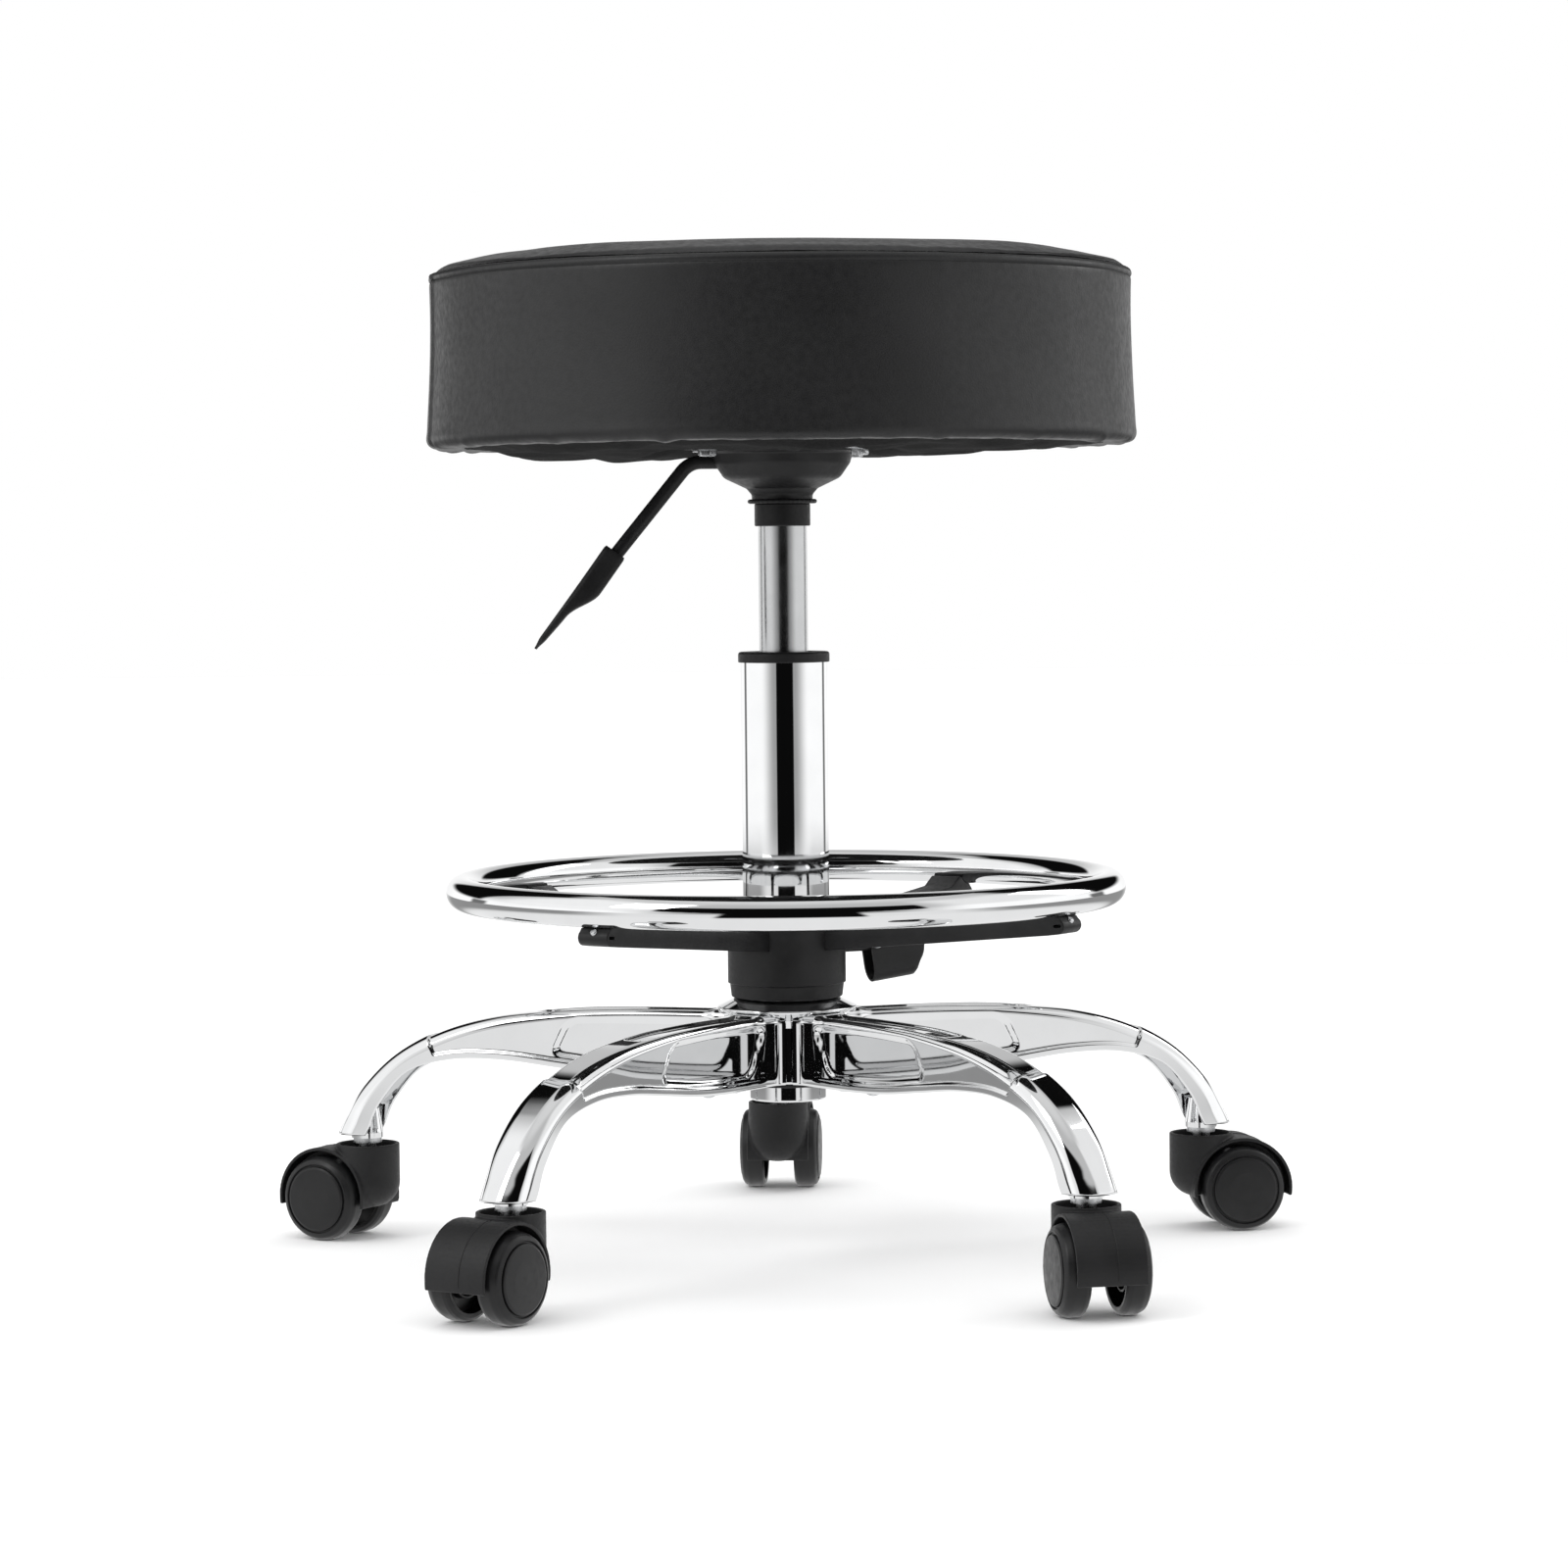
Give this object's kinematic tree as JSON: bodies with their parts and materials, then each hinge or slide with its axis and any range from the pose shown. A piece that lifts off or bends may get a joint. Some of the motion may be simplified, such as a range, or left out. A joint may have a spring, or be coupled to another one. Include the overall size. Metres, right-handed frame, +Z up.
{
  "type": "adjustable swivel stool",
  "caption": "Round padded swivel stool on a gas lift and a chromed star base, with a height-adjustable foot ring and hooded twin-wheel casters.",
  "frame": {"origin": "the column's axis at floor level", "axes": "+Z up along the column's axis; +Y along one leg of the star base"},
  "size_m": [0.6031, 0.5784, 0.5715],
  "materials": {
    "chrome": "mirror polished chrome plate",
    "bright_steel": "bright zinc-plated steel",
    "black_steel": "satin black powder coat",
    "black_plastic": "fine-grained satin black",
    "wheel_nylon": "smooth satin black",
    "black_leather": "smooth synthetic leather with a fine grain",
    "foam": "open-cell foam",
    "plywood": "raw plywood",
    "dust_cloth": "thin black non-woven cloth"
  },
  "bodies": {
    "base": {"base_hub": "chrome", "hub_ring": "black_plastic", "leg_1": "chrome", "leg_2": "chrome", "leg_3": "chrome", "leg_4": "chrome", "leg_5": "chrome", "leg_plates": "chrome", "leg_screws": "bright_steel", "caster_sockets": "chrome", "caster_stems": "bright_steel", "column_tube": "chrome", "column_bush": "black_plastic", "column_base_plate": "bright_steel", "bearing_balls": "bright_steel"},
    "lift_rod": {"piston_rod": "bright_steel", "piston": "black_plastic", "bearing_race": "bright_steel", "rod_clip": "bright_steel"},
    "seat": {"gas_cylinder": "chrome", "cylinder_gland": "black_plastic", "cylinder_sleeve": "black_plastic", "seat_bracket": "black_steel", "bracket_plate": "black_steel", "bracket_bolts": "bright_steel", "board_nuts": "bright_steel", "seat_board": "plywood", "seat_foam": "foam", "seat_cover": "black_leather", "dust_cover": "dust_cloth", "lever_pivot_pin": "bright_steel"},
    "release_lever": {"lever_rod": "black_steel", "lever_grip": "black_plastic"},
    "valve": {"valve_pin": "bright_steel"},
    "ring_slider": {"ring_bush": "black_plastic"},
    "foot_ring": {"foot_ring_tube": "chrome", "ring_hub": "black_steel", "ring_arms": "black_steel", "clamp_pin": "bright_steel"},
    "ring_clamp": {"clamp_lever": "black_steel"},
    "caster_1": {"caster_1_hood": "black_plastic", "caster_1_axle": "bright_steel"},
    "caster_1_left": {"caster_1_wheel_left": "wheel_nylon"},
    "caster_1_right": {"caster_1_wheel_right": "wheel_nylon"},
    "caster_2": {"caster_2_hood": "black_plastic", "caster_2_axle": "bright_steel"},
    "caster_2_left": {"caster_2_wheel_left": "wheel_nylon"},
    "caster_2_right": {"caster_2_wheel_right": "wheel_nylon"},
    "caster_3": {"caster_3_hood": "black_plastic", "caster_3_axle": "bright_steel"},
    "caster_3_left": {"caster_3_wheel_left": "wheel_nylon"},
    "caster_3_right": {"caster_3_wheel_right": "wheel_nylon"},
    "caster_4": {"caster_4_hood": "black_plastic", "caster_4_axle": "bright_steel"},
    "caster_4_left": {"caster_4_wheel_left": "wheel_nylon"},
    "caster_4_right": {"caster_4_wheel_right": "wheel_nylon"},
    "caster_5": {"caster_5_hood": "black_plastic", "caster_5_axle": "bright_steel"},
    "caster_5_left": {"caster_5_wheel_left": "wheel_nylon"},
    "caster_5_right": {"caster_5_wheel_right": "wheel_nylon"}
  },
  "joints": [
    {"name": "seat_swivel", "type": "hinge", "parent": "base", "child": "lift_rod", "pos_m": [0, 0, 0.103], "axis": [0, 0, 1], "continuous": true},
    {"name": "seat_height", "type": "slide", "parent": "lift_rod", "child": "seat", "axis": [0, 0, 1], "range_m": [-0.07, 0.06]},
    {"name": "lever_lift", "type": "hinge", "parent": "seat", "child": "release_lever", "pos_m": [-0.032, 0, 0.457], "axis": [0, 1, 0], "range_deg": [0, 7], "stiffness_Nm_per_rad": 2, "springref_deg": -8.59},
    {"name": "valve_press", "type": "slide", "parent": "seat", "child": "valve", "axis": [0, 0, -1], "range_m": [0, 0.0042]},
    {"name": "ring_height", "type": "slide", "parent": "base", "child": "ring_slider", "axis": [0, 0, 1], "range_m": [0, 0.1]},
    {"name": "ring_turn", "type": "hinge", "parent": "ring_slider", "child": "foot_ring", "pos_m": [0, 0, 0.19], "axis": [0, 0, 1], "continuous": true},
    {"name": "ring_clamp_lift", "type": "hinge", "parent": "foot_ring", "child": "ring_clamp", "pos_m": [0.0499, 0.02542, 0.179], "axis": [0.454, -0.891, 0], "range_deg": [0, 25]},
    {"name": "caster_1_swivel", "type": "hinge", "parent": "base", "child": "caster_1", "pos_m": [0, 0.2608, 0.045], "axis": [0, 0, 1], "continuous": true},
    {"name": "caster_1_left_roll", "type": "hinge", "parent": "caster_1", "child": "caster_1_left", "pos_m": [0.00219, 0.28169, 0.025], "axis": [-0.9945, 0.1045, 0], "continuous": true},
    {"name": "caster_1_right_roll", "type": "hinge", "parent": "caster_1", "child": "caster_1_right", "pos_m": [0.00219, 0.28169, 0.025], "axis": [-0.9945, 0.1045, 0], "continuous": true},
    {"name": "caster_2_swivel", "type": "hinge", "parent": "base", "child": "caster_2", "pos_m": [-0.24804, 0.08059, 0.045], "axis": [0, 0, 1], "continuous": true},
    {"name": "caster_2_left_roll", "type": "hinge", "parent": "caster_2", "child": "caster_2_left", "pos_m": [-0.26604, 0.09141, 0.025], "axis": [-0.515, -0.8572, 0], "continuous": true},
    {"name": "caster_2_right_roll", "type": "hinge", "parent": "caster_2", "child": "caster_2_right", "pos_m": [-0.26604, 0.09141, 0.025], "axis": [-0.515, -0.8572, 0], "continuous": true},
    {"name": "caster_3_swivel", "type": "hinge", "parent": "base", "child": "caster_3", "pos_m": [-0.15329, -0.21099, 0.045], "axis": [0, 0, 1], "continuous": true},
    {"name": "caster_3_left_roll", "type": "hinge", "parent": "caster_3", "child": "caster_3_left", "pos_m": [-0.16519, -0.2283, 0.025], "axis": [0.8241, -0.5664, 0], "continuous": true},
    {"name": "caster_3_right_roll", "type": "hinge", "parent": "caster_3", "child": "caster_3_right", "pos_m": [-0.16519, -0.2283, 0.025], "axis": [0.8241, -0.5664, 0], "continuous": true},
    {"name": "caster_4_swivel", "type": "hinge", "parent": "base", "child": "caster_4", "pos_m": [0.15329, -0.21099, 0.045], "axis": [0, 0, 1], "continuous": true},
    {"name": "caster_4_left_roll", "type": "hinge", "parent": "caster_4", "child": "caster_4_left", "pos_m": [0.1573, -0.23161, 0.025], "axis": [0.9816, 0.1908, 0], "continuous": true},
    {"name": "caster_4_right_roll", "type": "hinge", "parent": "caster_4", "child": "caster_4_right", "pos_m": [0.1573, -0.23161, 0.025], "axis": [0.9816, 0.1908, 0], "continuous": true},
    {"name": "caster_5_swivel", "type": "hinge", "parent": "base", "child": "caster_5", "pos_m": [0.24804, 0.08059, 0.045], "axis": [0, 0, 1], "continuous": true},
    {"name": "caster_5_left_roll", "type": "hinge", "parent": "caster_5", "child": "caster_5_left", "pos_m": [0.26883, 0.08351, 0.025], "axis": [-0.1392, 0.9903, 0], "continuous": true},
    {"name": "caster_5_right_roll", "type": "hinge", "parent": "caster_5", "child": "caster_5_right", "pos_m": [0.26883, 0.08351, 0.025], "axis": [-0.1392, 0.9903, 0], "continuous": true}
  ],
  "couplings": [
    {"joint": "valve_press", "follows": "lever_lift", "m_per_rad": 0.032}
  ]
}
